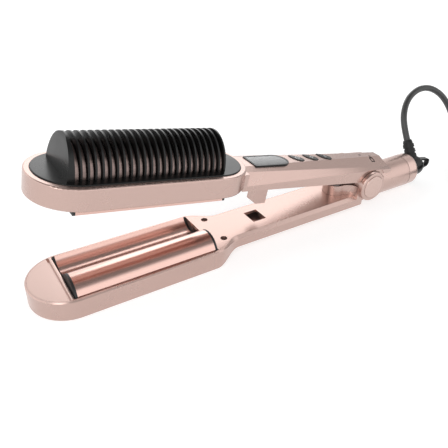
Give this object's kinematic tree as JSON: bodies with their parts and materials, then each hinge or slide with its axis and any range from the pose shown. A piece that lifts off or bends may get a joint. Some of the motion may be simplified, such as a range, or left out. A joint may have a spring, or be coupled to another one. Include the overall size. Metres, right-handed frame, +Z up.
{
  "type": "hair waver",
  "caption": "Two-armed heated hair waver with rose-gold wave plates, an arched heated comb on its head, display, three buttons, twist lock and swivel cord.",
  "frame": {"origin": "bottom centre of the half-open tool without its cord, on the floor", "axes": "+X along the lower arm towards the cord, +Z up; the side with the hinge cap seen first is -Y"},
  "size_m": [0.4045, 0.114, 0.0982],
  "materials": {
    "champagne_satin": "satin champagne-rose lacquer on moulded plastic",
    "champagne_gloss": "glossier champagne-rose lacquer",
    "graphite_gloss": "glossy graphite",
    "wave_plate": "polished, anodised rose gold",
    "black_plastic": "satin black heat-proof plastic",
    "hot_fin": "dark brown coated metal fins",
    "steel": "bare steel",
    "display_glass": "smoked gloss window",
    "display_panel": "unlit grey panel",
    "board_green": "circuit board lacquer",
    "heater_strip": "insulating film",
    "insulator": "heat-proof carrier",
    "cord_rubber": "matt black cable sheath",
    "plug_plastic": "satin black",
    "brass": "nickel-plated brass pins"
  },
  "bodies": {
    "lower_arm": {"lower_housing": "champagne_satin", "tip_cap": "champagne_gloss", "lower_wave_plate": "wave_plate", "lower_seal_front": "black_plastic", "lower_seal_rear": "black_plastic", "lower_heater": "heater_strip", "lower_insulator": "insulator", "handle_panel": "champagne_satin", "panel_screws": "steel", "hinge_pin": "steel", "hinge_cap_near": "champagne_gloss", "hinge_cap_far": "champagne_gloss", "opening_spring": "steel", "tail_cover": "champagne_satin"},
    "lock_ring": {"lock_ring": "champagne_gloss"},
    "lock_slider": {"lock_slider": "champagne_satin"},
    "upper_arm": {"upper_housing": "champagne_satin", "upper_cover": "champagne_satin", "head_base": "champagne_satin", "comb_plate": "black_plastic", "heated_fins": "hot_fin", "upper_wave_plate": "wave_plate", "upper_seal_front": "black_plastic", "upper_seal_rear": "black_plastic", "upper_heater": "heater_strip", "display_bezel": "black_plastic", "display_window": "display_glass", "display_module": "display_panel", "display_spacer": "black_plastic", "control_board": "board_green", "tact_switches": "black_plastic", "latch_post": "champagne_satin"},
    "power_button": {"power_button": "graphite_gloss"},
    "plus_button": {"plus_button": "graphite_gloss"},
    "minus_button": {"minus_button": "graphite_gloss"},
    "cord_swivel": {"swivel_gland": "black_plastic", "swivel_spindle": "black_plastic", "hang_loop": "black_plastic", "strain_relief": "cord_rubber", "cord_tube": "cord_rubber", "cord_coil": "cord_rubber", "plug_body": "plug_plastic", "plug_pins": "brass"}
  },
  "joints": [
    {"name": "arm_hinge", "type": "hinge", "parent": "lower_arm", "child": "upper_arm", "pos_m": [0.07965, 0, 0.0196], "axis": [0, 1, 0], "range_deg": [-10.8, 0], "stiffness_Nm_per_rad": 0.8, "springref_deg": 28.65, "deforming": ["opening_spring"]},
    {"name": "power_press", "type": "slide", "parent": "upper_arm", "child": "power_button", "axis": [-0.1884, 0, -0.9821], "range_m": [0, 0.0008], "stiffness_N_per_m": 500, "springref_m": -0.0006},
    {"name": "plus_press", "type": "slide", "parent": "upper_arm", "child": "plus_button", "axis": [-0.1884, 0, -0.9821], "range_m": [0, 0.0008], "stiffness_N_per_m": 500, "springref_m": -0.0006},
    {"name": "minus_press", "type": "slide", "parent": "upper_arm", "child": "minus_button", "axis": [-0.1884, 0, -0.9821], "range_m": [0, 0.0008], "stiffness_N_per_m": 500, "springref_m": -0.0006},
    {"name": "lock_ring_turn", "type": "hinge", "parent": "lower_arm", "child": "lock_ring", "pos_m": [0.13165, 0, 0.0121], "axis": [1, 0, 0], "range_deg": [0, 45]},
    {"name": "lock_slider_slide", "type": "slide", "parent": "lower_arm", "child": "lock_slider", "axis": [-1, 0, 0], "range_m": [0, 0.004]},
    {"name": "cord_turn", "type": "hinge", "parent": "lower_arm", "child": "cord_swivel", "pos_m": [0.14415, 0, 0.0121], "axis": [1, 0, 0], "continuous": true}
  ],
  "couplings": [
    {"joint": "lock_ring_turn", "follows": "lock_slider_slide", "rad_per_m": 196.25}
  ]
}
